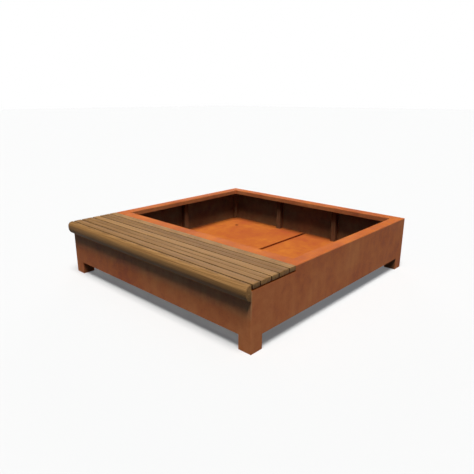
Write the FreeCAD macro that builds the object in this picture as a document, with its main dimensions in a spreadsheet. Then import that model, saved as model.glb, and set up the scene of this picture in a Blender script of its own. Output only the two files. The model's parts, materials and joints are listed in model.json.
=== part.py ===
import FreeCAD, Part
import math
import os
import types

import Sketcher

# Planter with a built-in bench. A square box of folded steel stands on four box
# legs. A cross wall splits it: in front are the slats of a bench, behind is the
# basin, with an inward rim all round. X runs along the bench, the bench faces -Y,
# Z is up, and the origin is on the ground under the middle of the whole object.

os.makedirs("parts", exist_ok=True)
doc = FreeCAD.newDocument("bench_with_planter")

# Driving sizes in millimetres
SIZES = {
    # Steel box
    "box_width": 2000,
    "box_depth": 2000,
    "overall_height": 445,
    "bench_depth": 420,
    "sheet": 3,
    "bend_radius": 2,
    "rim_width": 90,
    "lip_depth": 40,
    # Legs
    "leg_width": 100,
    "leg_height": 100,
    "sole_thickness": 6,
    # Floor of the basin
    "floor_thickness": 3,
    "slot_width": 32,
    "slot_left_of_centre": 20,
    "drain_inset": 248,
    "drain_diameter": 24,
    "gutter_width": 50,
    "gutter_depth": 40,
    "gutter_brim": 30,
    "channel_width": 60,
    "channel_depth": 40,
    # Ribs and corner posts
    "rib_width": 50,
    "rib_depth": 50,
    "post_width": 36,
    # Carriers under the slats
    "bench_flange": 30,
    "ledge_width": 30,
    "ledge_height": 30,
    "bearer_width": 50,
    "bearer_thickness": 10,
    "bearer_side_inset": 47,
    "bearer_end_gap": 5,
    # Timber
    "slat_thickness": 30,
    "slat_edge_radius": 3,
    "slat_gap": 8,
    "front_gap": 10,
    "rear_gap": 3,
    "narrow_slat": 63,
    "wide_slat": 93,
    "groove_width": 4,
    "groove_depth": 3,
    "nose_depth": 46,
    "nose_height": 105,
    "nose_top_radius": 35,
    "nose_curve_height": 54,
    # Fasteners
    "bolt_diameter": 8,
    "bolt_head_width": 13,
    "bolt_head_height": 5.5,
    "bearer_bolt_inset": 12.5,
    "bearer_bolt_bite": 8,
    "nose_bolt_side_inset": 100,
    "nose_bolt_below_top": 75,
    "nose_bolt_bite": 30,
    "hole_clearance": 0.2,
}
STATIONS = (-1, -0.5, 0, 0.5, 1)
CUT_MARGIN = 5

sheet = doc.addObject("Spreadsheet::Sheet", "size")
for row, (alias, number) in enumerate(SIZES.items(), start=1):
    sheet.set(f"A{row}", alias)
    sheet.set(f"B{row}", str(number))
    sheet.setAlias(f"B{row}", alias)
doc.recompute()


class Size:
    """A length with its value now and the sheet formula that gives it."""

    def __init__(self, value, formula):
        self.value = float(value)
        self.formula = formula

    def __add__(self, other):
        other = as_size(other)
        return Size(self.value + other.value, f"({self.formula} + {other.formula})")

    def __sub__(self, other):
        other = as_size(other)
        return Size(self.value - other.value, f"({self.formula} - {other.formula})")

    def __mul__(self, other):
        other = as_size(other)
        return Size(self.value * other.value, f"({self.formula} * {other.formula})")

    def __truediv__(self, other):
        other = as_size(other)
        return Size(self.value / other.value, f"({self.formula} / {other.formula})")

    def __neg__(self):
        return self * -1


def as_size(number):
    """A plain number as a Size, and a Size as it is."""
    if isinstance(number, Size):
        return number
    return Size(number, f"({float(number)})")


size = types.SimpleNamespace(**{alias: Size(sheet.get(alias), f"size.{alias}") for alias in SIZES})

# Heights and places that several pieces share
outer_bend = size.bend_radius + size.sheet
half_width = size.box_width / 2
half_depth = size.box_depth / 2
front_face = (size.nose_depth - size.box_depth) / 2
back_face = front_face + size.box_depth
partition_face = front_face + size.bench_depth
basin_front = partition_face + size.sheet
basin_back = back_face - size.sheet
inner_side = half_width - size.sheet
floor_top = size.leg_height + size.floor_thickness
slat_bottom = size.overall_height - size.slat_thickness
bearer_bottom = slat_bottom - size.bearer_thickness
basin_middle = (basin_front + basin_back) / 2
bearer_reach = inner_side - size.bearer_side_inset
nose_bolt_reach = half_width - size.nose_bolt_side_inset
nose_bolt_height = size.overall_height - size.nose_bolt_below_top
bolt_hole = size.bolt_diameter / 2 + size.hole_clearance


def bind(owner, path, length):
    """Tie one property of an object to a formula of the sheet."""
    owner.setExpression(path, as_size(length).formula)


def new_body(name, x=0, y=0, z=0, turn=0):
    """A named body whose place is tied to the sheet, turned about Z by whole degrees."""
    body = doc.addObject("PartDesign::Body", name)
    body.Label = name
    body.Placement = FreeCAD.Placement(
        FreeCAD.Vector(0, 0, 0),
        FreeCAD.Rotation(FreeCAD.Vector(0, 0, 1), turn),
    )
    for axis, length in zip("xyz", (x, y, z)):
        bind(body, f"Placement.Base.{axis}", length)
    return body


def new_sketch(body, role, name, offset=0):
    """A sketch on one origin plane of its body, moved along the plane's normal."""
    sketch = body.newObject("Sketcher::SketchObject", f"{body.Name}_{name}")
    plane = next(item for item in body.Origin.OriginFeatures if item.Role == role)
    sketch.AttachmentSupport = [(plane, "")]
    sketch.MapMode = "FlatFace"
    bind(sketch, "AttachmentOffset.Base.z", offset)
    return sketch


def tie(sketch, rules):
    """Add constraints to a sketch, each (constraint, the formula of its value or None)."""
    first = sketch.ConstraintCount
    sketch.addConstraint([rule for rule, formula in rules])
    for number, (rule, formula) in enumerate(rules, start=first):
        if formula is not None:
            sketch.setExpression(f"Constraints[{number}]", formula)


def place_rules(curve, vertex, point):
    """Constraints that hold one vertex of a curve at a point, from the sketch origin."""
    return [
        (Sketcher.Constraint("DistanceX", -1, 1, curve, vertex, point[0].value), point[0].formula),
        (Sketcher.Constraint("DistanceY", -1, 1, curve, vertex, point[1].value), point[1].formula),
    ]


def vector(point):
    return FreeCAD.Vector(point[0].value, point[1].value, 0)


def arc_side(start, finish, centre):
    """The arc about a centre, and the vertex numbers of its start and finish."""
    spokes = [vector(start) - vector(centre), vector(finish) - vector(centre)]
    angles = [math.atan2(spoke.y, spoke.x) for spoke in spokes]
    circle = Part.Circle(vector(centre), FreeCAD.Vector(0, 0, 1), spokes[0].Length)
    if (angles[1] - angles[0]) % (2 * math.pi) < math.pi:
        return Part.ArcOfCircle(circle, angles[0], angles[1]), (1, 2)
    return Part.ArcOfCircle(circle, angles[1], angles[0]), (2, 1)


def draw_sides(sketch, sides):
    """Draw a closed run of sides, each (start, finish, centre of its arc or None)."""
    first = sketch.GeometryCount
    curves = []
    ends = []
    for start, finish, centre in sides:
        if centre is None:
            curves.append(Part.LineSegment(vector(start), vector(finish)))
            ends.append((1, 2))
        else:
            arc, arc_ends = arc_side(start, finish, centre)
            curves.append(arc)
            ends.append(arc_ends)
    sketch.addGeometry(curves, False)
    rules = []
    for here, (start, finish, centre) in enumerate(sides):
        after = (here + 1) % len(sides)
        joint = Sketcher.Constraint("Coincident", first + here, ends[here][1], first + after, ends[after][0])
        rules.append((joint, None))
        rules += place_rules(first + here, ends[here][0], start)
        if centre is not None:
            rules += place_rules(first + here, 3, centre)[1:]
    tie(sketch, rules)


def toward(corner, other):
    """The point one bend radius from a corner, along its side to another corner."""
    x, y, radius = corner
    if abs(other[0].value - x.value) > abs(other[1].value - y.value):
        return (x + radius, y) if other[0].value > x.value else (x - radius, y)
    return (x, y + radius) if other[1].value > y.value else (x, y - radius)


def draw_outline(sketch, corners):
    """Draw a closed outline. A corner is (x, y), or (x, y, radius) at a round right angle."""
    corners = [tuple(as_size(length) for length in corner) for corner in corners]
    sides = []
    leaving = []
    for here, corner in enumerate(corners):
        if len(corner) == 2:
            leaving.append((corner, corner, None))
            continue
        enter = toward(corner, corners[here - 1])
        leave = toward(corner, corners[(here + 1) % len(corners)])
        came_level = enter[1].value == corner[1].value
        centre = (enter[0], leave[1]) if came_level else (leave[0], enter[1])
        leaving.append((enter, leave, centre))
    for here, (enter, leave, centre) in enumerate(leaving):
        if centre is not None:
            sides.append((enter, leave, centre))
        sides.append((leave, leaving[(here + 1) % len(leaving)][0], None))
    draw_sides(sketch, sides)


def draw_box(sketch, low_x, low_y, high_x, high_y):
    draw_outline(sketch, [(low_x, low_y), (high_x, low_y), (high_x, high_y), (low_x, high_y)])


def draw_hole(sketch, x, y, radius):
    """Draw a circle whose centre and radius are tied to the sheet."""
    centre = (as_size(x), as_size(y))
    radius = as_size(radius)
    curve = sketch.addGeometry(Part.Circle(vector(centre), FreeCAD.Vector(0, 0, 1), radius.value), False)
    rules = place_rules(curve, 3, centre)
    rules.append((Sketcher.Constraint("Radius", curve, radius.value), radius.formula))
    tie(sketch, rules)


def draw_hexagon(sketch, x, y, across_flats):
    """Draw a hexagon bolt head about a centre, with a corner on each side along X."""
    reach = across_flats / math.sqrt(3)
    corners = []
    for step in range(6):
        angle = math.radians(60 * step)
        corners.append((x + reach * math.cos(angle), y + reach * math.sin(angle)))
    draw_outline(sketch, corners)


def pad(sketch, length, side="One side", reverse=False):
    """Give a sketch its thickness or its length."""
    body = sketch.getParentGeoFeatureGroup()
    feature = body.newObject("PartDesign::Pad", f"{sketch.Name}_pad")
    feature.Profile = sketch
    feature.SideType = side
    feature.Reversed = reverse
    bind(feature, "Length", length)


def cut_through(sketch):
    """Cut a sketch right through its body, both ways."""
    body = sketch.getParentGeoFeatureGroup()
    feature = body.newObject("PartDesign::Pocket", f"{sketch.Name}_cut")
    feature.Profile = sketch
    feature.SideType = "Symmetric"
    feature.Type = "ThroughAll"


def cut_depth(sketch, depth):
    """Cut a sketch to a depth along its plane's normal."""
    body = sketch.getParentGeoFeatureGroup()
    feature = body.newObject("PartDesign::Pocket", f"{sketch.Name}_cut")
    feature.Profile = sketch
    feature.Reversed = True
    bind(feature, "Length", depth)


# Sections of folded sheet


def rim_section(bottom):
    """Up the outside of a wall, over its inward rim and down the return lip."""
    top = size.overall_height
    edge = size.rim_width
    return [
        (0, bottom),
        (0, top, outer_bend),
        (edge, top, outer_bend),
        (edge, top - size.lip_depth),
        (edge - size.sheet, top - size.lip_depth),
        (edge - size.sheet, top - size.sheet, size.bend_radius),
        (size.sheet, top - size.sheet, size.bend_radius),
        (size.sheet, bottom),
    ]


def angle_section(across, along):
    """An angle with its outer corner at the origin, one leg across and one along."""
    return [
        (0, 0, outer_bend),
        (across, 0),
        (across, size.sheet if along.value > 0 else -size.sheet),
        (size.sheet if across.value > 0 else -size.sheet,
         size.sheet if along.value > 0 else -size.sheet,
         size.bend_radius),
        (size.sheet if across.value > 0 else -size.sheet, along),
        (0, along),
    ]


def channel_section(width, depth):
    """A channel whose open side lies on the X axis and whose web is at the given depth."""
    half = width / 2
    inside = half - size.sheet
    web = depth - size.sheet if depth.value > 0 else depth + size.sheet
    return [
        (-half, 0),
        (-half, depth, outer_bend),
        (half, depth, outer_bend),
        (half, 0),
        (inside, 0),
        (inside, web, size.bend_radius),
        (-inside, web, size.bend_radius),
        (-inside, 0),
    ]


def gutter_section():
    """A hat section: two brims at the top and an open well between them."""
    half = size.gutter_width / 2
    inside = half - size.sheet
    edge = half + size.gutter_brim
    bed = size.sheet - size.gutter_depth
    return [
        (-edge, 0),
        (-inside, 0, outer_bend),
        (-inside, bed, size.bend_radius),
        (inside, bed, size.bend_radius),
        (inside, 0, outer_bend),
        (edge, 0),
        (edge, -size.sheet),
        (half, -size.sheet, size.bend_radius),
        (half, -size.gutter_depth, outer_bend),
        (-half, -size.gutter_depth, outer_bend),
        (-half, -size.sheet, size.bend_radius),
        (-edge, -size.sheet),
    ]


# Walls of the box. Each is drawn with its outer face on local y = 0, looking inward
# along +Y, and is then turned to its side of the box.


def cut_mitres(body, half_length, depth, reach):
    """Cut both ends of a wall at 45 degrees down to a depth, and square beyond it."""
    sketch = new_sketch(body, "XY_Plane", "mitres")
    for side in (-1, 1):
        draw_outline(sketch, [
            ((half_length + CUT_MARGIN) * side, -CUT_MARGIN),
            ((half_length - depth) * side, depth),
            ((half_length - depth) * side, reach),
            ((half_length + CUT_MARGIN) * side, reach),
        ])
    cut_through(sketch)


def cut_leg_opening(body, half_length):
    """Cut the gap under a wall, which leaves a leg at each end."""
    sketch = new_sketch(body, "XZ_Plane", "leg_opening")
    opening = half_length - size.leg_width
    draw_box(sketch, -opening, -CUT_MARGIN, opening, size.leg_height)
    cut_through(sketch)


def cut_bench_step(body, end):
    """Lower a side wall beside the bench. The rim's end there is mitred to the cross wall's."""
    sketch = new_sketch(body, "XY_Plane", "bench_step", bearer_bottom)
    cross = half_depth - size.bench_depth
    reach = size.rim_width + CUT_MARGIN
    draw_outline(sketch, [
        ((cross + CUT_MARGIN) * end, -CUT_MARGIN),
        ((cross - reach) * end, reach),
        ((half_depth + CUT_MARGIN) * end, reach),
        ((half_depth + CUT_MARGIN) * end, -CUT_MARGIN),
    ])
    cut_depth(sketch, size.lip_depth + size.slat_thickness)


def rim_wall(name, half_length, bottom, **place):
    """A wall with an inward rim and lip, mitred at both ends."""
    body = new_body(name, **place)
    sketch = new_sketch(body, "YZ_Plane", "section")
    draw_outline(sketch, rim_section(bottom))
    pad(sketch, half_length * 2, "Symmetric")
    reach = size.rim_width + CUT_MARGIN
    cut_mitres(body, half_length, reach, reach + CUT_MARGIN)
    return body


def side_wall(name, side):
    """A side wall, with legs and the step beside the bench."""
    body = rim_wall(name, half_depth, 0, x=half_width * side, y=size.nose_depth / 2, turn=90 * side)
    cut_leg_opening(body, half_depth)
    cut_bench_step(body, -side)


def front_wall():
    """The low wall in front of the bench, with a flange that carries the bearers."""
    body = new_body("front_wall", y=front_face)
    sketch = new_sketch(body, "YZ_Plane", "section")
    draw_outline(sketch, [
        (0, 0),
        (0, bearer_bottom, outer_bend),
        (size.bench_flange, bearer_bottom),
        (size.bench_flange, bearer_bottom - size.sheet),
        (size.sheet, bearer_bottom - size.sheet, size.bend_radius),
        (size.sheet, 0),
    ])
    pad(sketch, size.box_width, "Symmetric")
    cut_mitres(body, half_width, size.sheet, size.bench_flange + CUT_MARGIN)
    cut_leg_opening(body, half_width)
    holes = new_sketch(body, "XZ_Plane", "nose_bolt_holes")
    for station in STATIONS:
        draw_hole(holes, nose_bolt_reach * station, nose_bolt_height, bolt_hole)
    cut_through(holes)
    holes = new_sketch(body, "XY_Plane", "bearer_bolt_holes", bearer_bottom)
    for station in STATIONS:
        inset = size.bearer_end_gap + size.bearer_bolt_inset
        draw_hole(holes, bearer_reach * station, inset, bolt_hole)
    cut_through(holes)


def bench_partition():
    """The cross wall between bench and basin, let in between the side walls below the rim."""
    body = rim_wall("bench_partition", half_width, size.leg_height, y=partition_face)
    sketch = new_sketch(body, "XZ_Plane", "ends_between_walls")
    for side in (-1, 1):
        draw_box(sketch, inner_side * side, 0, (half_width + CUT_MARGIN) * side, bearer_bottom)
    cut_through(sketch)


front_wall()
back_wall = rim_wall("back_wall", half_width, 0, y=back_face, turn=180)
cut_leg_opening(back_wall, half_width)
side_wall("left_wall", -1)
side_wall("right_wall", 1)
bench_partition()


# Floor of the basin: two plates with a slot between them over an open gutter, and a
# channel under the middle of each plate


def floor_plate(name, wall_x, slot_x, drain_x):
    """One floor plate from a side wall to the slot, with a drain hole near each corner."""
    body = new_body(name)
    sketch = new_sketch(body, "XY_Plane", "plate", size.leg_height)
    draw_box(sketch, wall_x, basin_front, slot_x, basin_back)
    pad(sketch, size.floor_thickness)
    holes = new_sketch(body, "XY_Plane", "drain_holes", size.leg_height)
    for drain_y in (basin_front + size.drain_inset, basin_back - size.drain_inset):
        draw_hole(holes, drain_x, drain_y, size.drain_diameter / 2)
    cut_through(holes)


def floor_beam(name, x, section):
    """A folded section under the floor, from the back wall to the cross wall."""
    body = new_body(name, x=x, y=basin_back, z=size.leg_height)
    sketch = new_sketch(body, "XZ_Plane", "section")
    draw_outline(sketch, section)
    pad(sketch, basin_back - basin_front)
    return body


def gutter():
    """The gutter under the slot. A plate closes its back end, and it drains at the front."""
    body = floor_beam("floor_gutter", slot_middle, gutter_section())
    sketch = new_sketch(body, "XZ_Plane", "end_plate")
    half = size.gutter_width / 2
    draw_outline(sketch, [
        (-half, 0),
        (half, 0),
        (half, -size.gutter_depth, outer_bend),
        (-half, -size.gutter_depth, outer_bend),
    ])
    pad(sketch, size.sheet)


slot_middle = -size.slot_left_of_centre
half_slot = size.slot_width / 2
drain_side = inner_side - size.drain_inset
floor_plate("floor_plate_left", -inner_side, slot_middle - half_slot, -drain_side)
floor_plate("floor_plate_right", inner_side, slot_middle + half_slot, drain_side)
gutter()
for name, side in (("left", -1), ("right", 1)):
    section = channel_section(size.channel_width, -size.channel_depth)
    floor_beam(f"floor_channel_{name}", half_width / 2 * side, section)


# Legs and posts: angles that close the corners of the walls into square tubes


def corner_angle(name, reach, low, high, **place):
    """An upright angle whose two edges meet the walls of a corner at the local origin."""
    body = new_body(name, z=low, **place)
    sketch = new_sketch(body, "XY_Plane", "section")
    inside = reach - size.sheet
    draw_outline(sketch, [
        (0, reach),
        (reach, reach, outer_bend),
        (reach, 0),
        (inside, 0),
        (inside, inside, size.bend_radius),
        (0, inside),
    ])
    pad(sketch, high - low)


def sole_plate(name, **place):
    """The plate inside the foot of a leg, which stands on the ground."""
    body = new_body(name, **place)
    sketch = new_sketch(body, "XY_Plane", "plate")
    reach = size.leg_width - size.sheet * 2
    draw_outline(sketch, [(0, 0), (reach, 0), (reach, reach, size.bend_radius), (0, reach)])
    pad(sketch, size.sole_thickness)


CORNERS = [
    ("front_left", -1, "front", 0),
    ("front_right", 1, "front", 90),
    ("back_right", 1, "back", 180),
    ("back_left", -1, "back", 270),
]
under_rim = size.overall_height - size.sheet - size.bend_radius
for name, side, end, turn in CORNERS:
    leg_y = front_face + size.sheet if end == "front" else basin_back
    post_y = basin_front if end == "front" else basin_back
    leg = {"x": inner_side * side, "y": leg_y, "turn": turn}
    corner_angle(f"leg_angle_{name}", size.leg_width - size.sheet, as_size(0), size.leg_height, **leg)
    sole_plate(f"sole_plate_{name}", **leg)
    post = {"x": inner_side * side, "y": post_y, "turn": turn}
    corner_angle(f"corner_post_{name}", size.post_width, floor_top, under_rim, **post)


# Ribs: upright channels on the inside of the basin walls, at the thirds of the long
# walls and the middle of the side walls


def rib(name, x, y, turn):
    """A channel with its open side against a wall, from the floor to just under the rim."""
    body = new_body(name, x=x, y=y, z=floor_top, turn=turn)
    sketch = new_sketch(body, "XY_Plane", "section")
    draw_outline(sketch, channel_section(size.rib_width, size.rib_depth))
    pad(sketch, under_rim - floor_top)


for name, side in (("left", -1), ("right", 1)):
    rib(f"back_rib_{name}", half_width / 3 * side, basin_back, 180)
    rib(f"partition_rib_{name}", half_width / 3 * side, basin_front, 0)
    rib(f"{name}_rib", inner_side * side, basin_middle, 90 * side)


# Carriers of the slats: a ledge on the cross wall, and flat bars from it to the front wall

bearer_front = front_face + size.bearer_end_gap
bearer_back = partition_face - size.bearer_end_gap
bearer_bolts_y = (bearer_front + size.bearer_bolt_inset, bearer_back - size.bearer_bolt_inset)


def slat_rows():
    """The front edge and width of each slat, front to back. The last fills what is left."""
    rows = []
    edge = front_face + size.front_gap
    for width in (size.narrow_slat, size.wide_slat, size.narrow_slat, size.wide_slat):
        rows.append((edge, width))
        edge = edge + width + size.slat_gap
    rows.append((edge, partition_face - size.rear_gap - edge))
    return rows




def bench_ledge():
    """The angle on the cross wall that the bearers lie on."""
    body = new_body("bench_ledge", y=partition_face, z=bearer_bottom)
    sketch = new_sketch(body, "YZ_Plane", "section")
    draw_outline(sketch, angle_section(-size.ledge_width, -size.ledge_height))
    pad(sketch, inner_side * 2, "Symmetric")
    holes = new_sketch(body, "XY_Plane", "bearer_bolt_holes")
    for station in STATIONS:
        draw_hole(holes, bearer_reach * station, bearer_bolts_y[1] - partition_face, bolt_hole)
    cut_through(holes)


def bearer(number, station):
    """A flat bar under the slats, drilled near each end for a bolt."""
    body = new_body(f"bearer_{number}", x=bearer_reach * station, z=bearer_bottom)
    sketch = new_sketch(body, "XY_Plane", "bar")
    half = size.bearer_width / 2
    draw_box(sketch, -half, bearer_front, half, bearer_back)
    pad(sketch, size.bearer_thickness)
    holes = new_sketch(body, "XY_Plane", "holes")
    for y in bearer_bolts_y:
        draw_hole(holes, 0, y, bolt_hole)
    cut_through(holes)


bench_ledge()
for number, station in enumerate(STATIONS, start=1):
    bearer(number, station)


# Timber


def slat(number, edge, width, grooved):
    """A board with eased top edges. The wide ones have a groove along the middle."""
    body = new_body(f"slat_{number}", y=edge, z=slat_bottom)
    sketch = new_sketch(body, "YZ_Plane", "section")
    top = size.slat_thickness
    corners = [(0, 0), (width, 0), (width, top, size.slat_edge_radius)]
    if grooved:
        high = width / 2 + size.groove_width / 2
        low = width / 2 - size.groove_width / 2
        bed = top - size.groove_depth
        corners += [(high, top), (high, bed), (low, bed), (low, top)]
    corners.append((0, top, size.slat_edge_radius))
    draw_outline(sketch, corners)
    pad(sketch, size.box_width, "Symmetric")


def nose_slat():
    """The front rail: a flat back and top, a large round above and a long curve back below."""
    body = new_body("nose_slat", y=front_face, z=size.overall_height - size.nose_height)
    sketch = new_sketch(body, "YZ_Plane", "section")
    top = size.nose_height
    front = -size.nose_depth
    radius = size.nose_top_radius
    curve = size.nose_curve_height
    lower_radius = (size.nose_depth * size.nose_depth + curve * curve) / (size.nose_depth * 2)
    back_low = (as_size(0), as_size(0))
    back_high = (as_size(0), top)
    round_start = (front + radius, top)
    round_end = (front, top - radius)
    curve_start = (front, curve)
    draw_sides(sketch, [
        (back_low, back_high, None),
        (back_high, round_start, None),
        (round_start, round_end, (front + radius, top - radius)),
        (round_end, curve_start, None),
        (curve_start, back_low, (front + lower_radius, curve)),
    ])
    pad(sketch, size.box_width, "Symmetric")
    holes = new_sketch(body, "XZ_Plane", "bolt_holes")
    for station in STATIONS:
        draw_hole(holes, nose_bolt_reach * station, top - size.nose_bolt_below_top, bolt_hole)
    cut_depth(holes, size.nose_bolt_bite)


for number, (edge, width) in enumerate(slat_rows(), start=1):
    slat(number, edge, width, grooved=number in (2, 4))
nose_slat()


# Fasteners, each kind one group of separate solids


def bearer_bolts():
    """Hexagon bolts that go up through the flange and the ledge into the bearers."""
    body = new_body("bearer_bolts", z=bearer_bottom - size.sheet)
    body.AllowCompound = True
    shanks = new_sketch(body, "XY_Plane", "shanks")
    heads = new_sketch(body, "XY_Plane", "heads")
    for station in STATIONS:
        for y in bearer_bolts_y:
            draw_hole(shanks, bearer_reach * station, y, size.bolt_diameter / 2)
            draw_hexagon(heads, bearer_reach * station, y, size.bolt_head_width)
    pad(shanks, size.sheet + size.bearer_bolt_bite)
    pad(heads, size.bolt_head_height, reverse=True)


def nose_bolts():
    """Hexagon bolts that go from inside the front wall into the front rail."""
    body = new_body("nose_bolts", y=front_face + size.sheet, z=nose_bolt_height)
    body.AllowCompound = True
    shanks = new_sketch(body, "XZ_Plane", "shanks")
    heads = new_sketch(body, "XZ_Plane", "heads")
    for station in STATIONS:
        draw_hole(shanks, nose_bolt_reach * station, 0, size.bolt_diameter / 2)
        draw_hexagon(heads, nose_bolt_reach * station, as_size(0), size.bolt_head_width)
    pad(shanks, size.sheet + size.nose_bolt_bite - size.hole_clearance)
    pad(heads, size.bolt_head_height, reverse=True)


bearer_bolts()
nose_bolts()

# Check every object, then write one file for each body
doc.recompute()
for item in doc.Objects:
    if "Invalid" in item.State or "Error" in item.State:
        raise RuntimeError(f"{item.Label} did not build: {item.State}")
    if item.TypeId == "PartDesign::Pocket" and item.Shape.Volume >= item.BaseFeature.Shape.Volume - 1:
        raise RuntimeError(f"{item.Label} cuts nothing")
bodies = [item for item in doc.Objects if item.TypeId == "PartDesign::Body"]
for body in bodies:
    if body.Shape.isNull() or not body.Shape.isValid():
        raise RuntimeError(f"{body.Label} has no valid shape")
for body in bodies:
    body.Shape.exportStep(f"parts/{body.Label}.step")
    box = body.Shape.BoundBox
    print(f"{body.Label}: {len(body.Shape.Solids)} solids, {body.Shape.Volume / 1000:.1f} cm3, "
          f"X {box.XMin:.1f}..{box.XMax:.1f}, Y {box.YMin:.1f}..{box.YMax:.1f}, "
          f"Z {box.ZMin:.1f}..{box.ZMax:.1f}")
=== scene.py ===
# %% [markdown]
# # A square planter with a bench
#
# The object is a two metre square box of folded weathering steel on four legs, with
# five hardwood boards and a rounded front rail laid over its front edge. Steel and
# timber come ready as solids, at their real size. This notebook dresses them. The
# steel solids get their finishes, with painted shade in places. The boards and the rail
# are made again as surfaces that know where they are worn and where light and shade
# are painted on them, and the weld beads and the screws are added.

import json
import math

import bpy
import numpy as np
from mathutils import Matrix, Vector


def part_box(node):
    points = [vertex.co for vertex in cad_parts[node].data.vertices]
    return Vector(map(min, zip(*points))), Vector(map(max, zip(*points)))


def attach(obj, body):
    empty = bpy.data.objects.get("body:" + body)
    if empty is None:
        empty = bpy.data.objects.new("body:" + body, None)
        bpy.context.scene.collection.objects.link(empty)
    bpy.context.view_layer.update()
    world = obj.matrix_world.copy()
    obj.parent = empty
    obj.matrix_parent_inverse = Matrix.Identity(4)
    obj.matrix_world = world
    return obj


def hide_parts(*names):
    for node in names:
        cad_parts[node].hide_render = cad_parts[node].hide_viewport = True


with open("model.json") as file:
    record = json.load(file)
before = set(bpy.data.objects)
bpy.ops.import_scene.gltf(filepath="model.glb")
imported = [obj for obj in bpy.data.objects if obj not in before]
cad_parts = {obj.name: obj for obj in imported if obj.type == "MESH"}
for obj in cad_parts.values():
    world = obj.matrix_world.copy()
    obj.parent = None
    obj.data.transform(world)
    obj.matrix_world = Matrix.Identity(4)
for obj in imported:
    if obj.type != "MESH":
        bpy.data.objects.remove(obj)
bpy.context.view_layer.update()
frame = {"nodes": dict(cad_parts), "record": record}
print("steel and timber solids:", len(frame["nodes"]))

# %% [markdown]
# ## The camera
#
# The photograph was taken with a moderate wide lens from above the front right
# corner. Its place was found from the corners of the box, whose real size is known.
# A camera can be aimed with a constraint, or turned by hand. Here it is turned from
# its azimuth and elevation, because two angles say plainly where it looks.

# %% Place the camera
IMAGE_WIDTH = 474
FOCAL_PIXELS = 455.5
SENSOR_MM = 36.0
CAMERA_PLACE = Vector((2.539, -2.742, 1.440))
CAMERA_AZIMUTH = math.radians(43.06)
CAMERA_ELEVATION = math.radians(17.04)


def direction(azimuth, elevation):
    """Unit vector towards a point at an azimuth from -Y towards +X, and an elevation."""
    return Vector((
        math.sin(azimuth) * math.cos(elevation),
        -math.cos(azimuth) * math.cos(elevation),
        math.sin(elevation),
    ))


camera_data = bpy.data.cameras.new("camera")
camera_data.sensor_width = SENSOR_MM
camera_data.lens = SENSOR_MM * FOCAL_PIXELS / IMAGE_WIDTH
camera = bpy.data.objects.new("camera", camera_data)
camera.location = CAMERA_PLACE
camera_back = direction(CAMERA_AZIMUTH, CAMERA_ELEVATION)
camera.rotation_euler = (-camera_back).to_track_quat("-Z", "Y").to_euler()
bpy.context.scene.collection.objects.link(camera)
bpy.context.scene.camera = camera
print(f"lens: {camera_data.lens:.1f} mm")

# %% [markdown]
# ## Colours and nodes
#
# A colour is easiest to read as the hex value that a picture editor shows, but the
# shader works in linear light. One function turns the first into the second. Another
# adds a node, sets its inputs and makes its links in one call, so that a material
# reads from top to bottom like a recipe. A third adds up patterns by their weights.

# %% Colour helper


def linear(hex_colour):
    """An sRGB hex colour as linear red, green and blue, with an alpha of 1.

    Each channel c is c / 12.92 near black, and ((c + 0.055) / 1.055) ** 2.4 above.
    """
    channels = [int(hex_colour[start:start + 2], 16) / 255 for start in (0, 2, 4)]
    light = [c / 12.92 if c <= 0.04045 else ((c + 0.055) / 1.055) ** 2.4 for c in channels]
    return (*light, 1.0)


print("white is", linear("FFFFFF")[:3])

# %% Node helpers
# The colour sockets of a mix node share their names with others, so they go by number
MIX_A = 6
MIX_B = 7
MIX_RESULT = 2


def add(tree, kind, inputs=None, **settings):
    """Add a node with its settings, and set or link its inputs. Returns the node.

    An input goes by its name or number. It is a plain value, or (node, output), which
    is linked.
    """
    node = tree.nodes.new(kind)
    for name, value in settings.items():
        setattr(node, name, value)
    for name, value in (inputs or {}).items():
        if isinstance(value, tuple) and isinstance(value[0], bpy.types.Node):
            tree.links.new(value[0].outputs[value[1]], node.inputs[name])
        else:
            node.inputs[name].default_value = value
    return node


def set_stops(ramp, positions, colours):
    """Give a colour ramp its stops, from hex colours."""
    elements = ramp.color_ramp.elements
    while len(elements) < len(positions):
        elements.new(0.5)
    for element, position, colour in zip(elements, positions, colours):
        element.position = position
        element.color = linear(colour)


def weighted_sum(tree, patterns, weights):
    """The sum of each pattern's value times its weight, as the last node of a chain."""
    total = 0.0
    for pattern_name, weight in weights.items():
        step = add(tree, "ShaderNodeMath", {0: (patterns[pattern_name], "Fac"), 1: weight, 2: total},
                   operation="MULTIPLY_ADD")
        total = (step, "Value")
    return step


def new_material(name):
    """An empty node material, and the tree to fill."""
    material = bpy.data.materials.new(name)
    material.use_nodes = True
    material.node_tree.nodes.clear()
    return material, material.node_tree


def per_millimetre(size_mm):
    """Texture scale that makes one cell of a pattern this many millimetres wide."""
    return 1000.0 / size_mm


print("the scale of a 10 mm pattern is", per_millimetre(10))

# %% [markdown]
# ## The floor
#
# The photograph has a white floor, and the inside of the basin is almost black. A
# floor that threw its light back would fill those shadows. It could be left out and
# painted in later. Here it is pale to the camera and dark to light that bounces, as if
# the box stood on a raised grey card. A faint glow of its own keeps the shadow on it
# as soft and pale as in the photograph.

# %% Make the floor
FLOOR_HALF_SIZE = 60.0
FLOOR_DARK = "1F2D40"
FLOOR_PALE = "CECDCB"
FLOOR_GLOW = "FDFBFD"
GLOW_STRENGTH = 0.13
MIRRORED_SHARE = 0.7


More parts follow.
